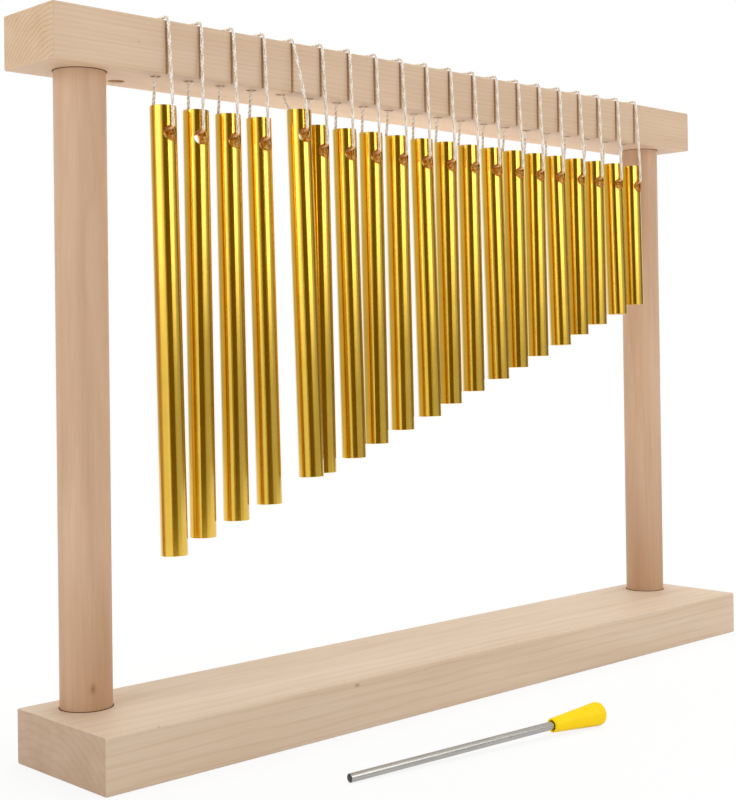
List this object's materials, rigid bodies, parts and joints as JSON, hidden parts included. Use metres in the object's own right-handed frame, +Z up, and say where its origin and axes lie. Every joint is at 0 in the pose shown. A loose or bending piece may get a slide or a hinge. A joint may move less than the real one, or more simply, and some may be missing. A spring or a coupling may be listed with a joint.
{
  "type": "percussion wind chime",
  "caption": "Table-top bar chimes: gold metal tubes of falling length hang on looped cords from a grooved wooden bar on round posts over a base board, with a capped steel beater",
  "frame": {"origin": "centre of the base board's underside, on the surface the stand rests on; the beater lies on the same surface", "axes": "+X along the row from the longest tube to the shortest, +Y from the front, where the beater lies, to the back, +Z up"},
  "size_m": [0.38, 0.1251, 0.2718],
  "materials": {
    "board_wood": "sanded pale wood, clear matt",
    "post_wood": "turned pinkish wood, clear satin",
    "gold_tube": "polished gold anodised",
    "cord": "braided white cord",
    "rod_steel": "bright drawn steel",
    "cap_plastic": "satin yellow plastic"
  },
  "bodies": {
    "stand": {"base_board": "board_wood", "left_post": "post_wood", "right_post": "post_wood", "top_bar": "board_wood", "cord_01": "cord", "cord_02": "cord", "cord_03": "cord", "cord_04": "cord", "cord_05": "cord", "cord_06": "cord", "cord_07": "cord", "cord_08": "cord", "cord_09": "cord", "cord_10": "cord", "cord_11": "cord", "cord_12": "cord", "cord_13": "cord", "cord_14": "cord", "cord_15": "cord", "cord_16": "cord", "cord_17": "cord", "cord_18": "cord", "cord_19": "cord", "cord_20": "cord"},
    "chime_01": {"tube_01": "gold_tube"},
    "chime_02": {"tube_02": "gold_tube"},
    "chime_03": {"tube_03": "gold_tube"},
    "chime_04": {"tube_04": "gold_tube"},
    "chime_05": {"tube_05": "gold_tube"},
    "chime_06": {"tube_06": "gold_tube"},
    "chime_07": {"tube_07": "gold_tube"},
    "chime_08": {"tube_08": "gold_tube"},
    "chime_09": {"tube_09": "gold_tube"},
    "chime_10": {"tube_10": "gold_tube"},
    "chime_11": {"tube_11": "gold_tube"},
    "chime_12": {"tube_12": "gold_tube"},
    "chime_13": {"tube_13": "gold_tube"},
    "chime_14": {"tube_14": "gold_tube"},
    "chime_15": {"tube_15": "gold_tube"},
    "chime_16": {"tube_16": "gold_tube"},
    "chime_17": {"tube_17": "gold_tube"},
    "chime_18": {"tube_18": "gold_tube"},
    "chime_19": {"tube_19": "gold_tube"},
    "chime_20": {"tube_20": "gold_tube"},
    "beater": {"beater_rod": "rod_steel", "beater_cap": "cap_plastic"}
  },
  "joints": [
    {"name": "tube_01_swing", "type": "hinge", "parent": "stand", "child": "chime_01", "pos_m": [-0.1425, -0.00078, 0.25], "axis": [1, 0, 0], "range_deg": [-30, 30], "deforming": ["cord_01"]},
    {"name": "tube_02_swing", "type": "hinge", "parent": "stand", "child": "chime_02", "pos_m": [-0.1275, -0.00078, 0.25], "axis": [1, 0, 0], "range_deg": [-30, 30], "deforming": ["cord_02"]},
    {"name": "tube_03_swing", "type": "hinge", "parent": "stand", "child": "chime_03", "pos_m": [-0.1125, -0.00078, 0.25], "axis": [1, 0, 0], "range_deg": [-30, 30], "deforming": ["cord_03"]},
    {"name": "tube_04_swing", "type": "hinge", "parent": "stand", "child": "chime_04", "pos_m": [-0.0975, -0.00078, 0.25], "axis": [1, 0, 0], "range_deg": [-30, 30], "deforming": ["cord_04"]},
    {"name": "tube_05_swing", "type": "hinge", "parent": "stand", "child": "chime_05", "pos_m": [-0.0803, -0.00478, 0.25], "axis": [1, 0, 0], "range_deg": [-30, 30], "deforming": ["cord_05"]},
    {"name": "tube_06_swing", "type": "hinge", "parent": "stand", "child": "chime_06", "pos_m": [-0.0675, -0.00078, 0.25], "axis": [1, 0, 0], "range_deg": [-30, 30], "deforming": ["cord_06"]},
    {"name": "tube_07_swing", "type": "hinge", "parent": "stand", "child": "chime_07", "pos_m": [-0.0525, -0.00078, 0.25], "axis": [1, 0, 0], "range_deg": [-30, 30], "deforming": ["cord_07"]},
    {"name": "tube_08_swing", "type": "hinge", "parent": "stand", "child": "chime_08", "pos_m": [-0.0375, -0.00078, 0.25], "axis": [1, 0, 0], "range_deg": [-30, 30], "deforming": ["cord_08"]},
    {"name": "tube_09_swing", "type": "hinge", "parent": "stand", "child": "chime_09", "pos_m": [-0.0225, -0.00078, 0.25], "axis": [1, 0, 0], "range_deg": [-30, 30], "deforming": ["cord_09"]},
    {"name": "tube_10_swing", "type": "hinge", "parent": "stand", "child": "chime_10", "pos_m": [-0.0075, -0.00078, 0.25], "axis": [1, 0, 0], "range_deg": [-30, 30], "deforming": ["cord_10"]},
    {"name": "tube_11_swing", "type": "hinge", "parent": "stand", "child": "chime_11", "pos_m": [0.0075, -0.00078, 0.25], "axis": [1, 0, 0], "range_deg": [-30, 30], "deforming": ["cord_11"]},
    {"name": "tube_12_swing", "type": "hinge", "parent": "stand", "child": "chime_12", "pos_m": [0.0225, -0.00078, 0.25], "axis": [1, 0, 0], "range_deg": [-30, 30], "deforming": ["cord_12"]},
    {"name": "tube_13_swing", "type": "hinge", "parent": "stand", "child": "chime_13", "pos_m": [0.0375, -0.00078, 0.25], "axis": [1, 0, 0], "range_deg": [-30, 30], "deforming": ["cord_13"]},
    {"name": "tube_14_swing", "type": "hinge", "parent": "stand", "child": "chime_14", "pos_m": [0.0525, -0.00078, 0.25], "axis": [1, 0, 0], "range_deg": [-30, 30], "deforming": ["cord_14"]},
    {"name": "tube_15_swing", "type": "hinge", "parent": "stand", "child": "chime_15", "pos_m": [0.0675, -0.00078, 0.25], "axis": [1, 0, 0], "range_deg": [-30, 30], "deforming": ["cord_15"]},
    {"name": "tube_16_swing", "type": "hinge", "parent": "stand", "child": "chime_16", "pos_m": [0.0825, -0.00078, 0.25], "axis": [1, 0, 0], "range_deg": [-30, 30], "deforming": ["cord_16"]},
    {"name": "tube_17_swing", "type": "hinge", "parent": "stand", "child": "chime_17", "pos_m": [0.0975, -0.00078, 0.25], "axis": [1, 0, 0], "range_deg": [-30, 30], "deforming": ["cord_17"]},
    {"name": "tube_18_swing", "type": "hinge", "parent": "stand", "child": "chime_18", "pos_m": [0.1125, -0.00078, 0.25], "axis": [1, 0, 0], "range_deg": [-30, 30], "deforming": ["cord_18"]},
    {"name": "tube_19_swing", "type": "hinge", "parent": "stand", "child": "chime_19", "pos_m": [0.1275, -0.00078, 0.25], "axis": [1, 0, 0], "range_deg": [-30, 30], "deforming": ["cord_19"]},
    {"name": "tube_20_swing", "type": "hinge", "parent": "stand", "child": "chime_20", "pos_m": [0.1425, -0.00078, 0.25], "axis": [1, 0, 0], "range_deg": [-30, 30], "deforming": ["cord_20"]},
    {"name": "beater_lift", "type": "slide", "parent": "stand", "child": "beater", "axis": [0, 0, 1], "range_m": [0, 0.15]}
  ]
}
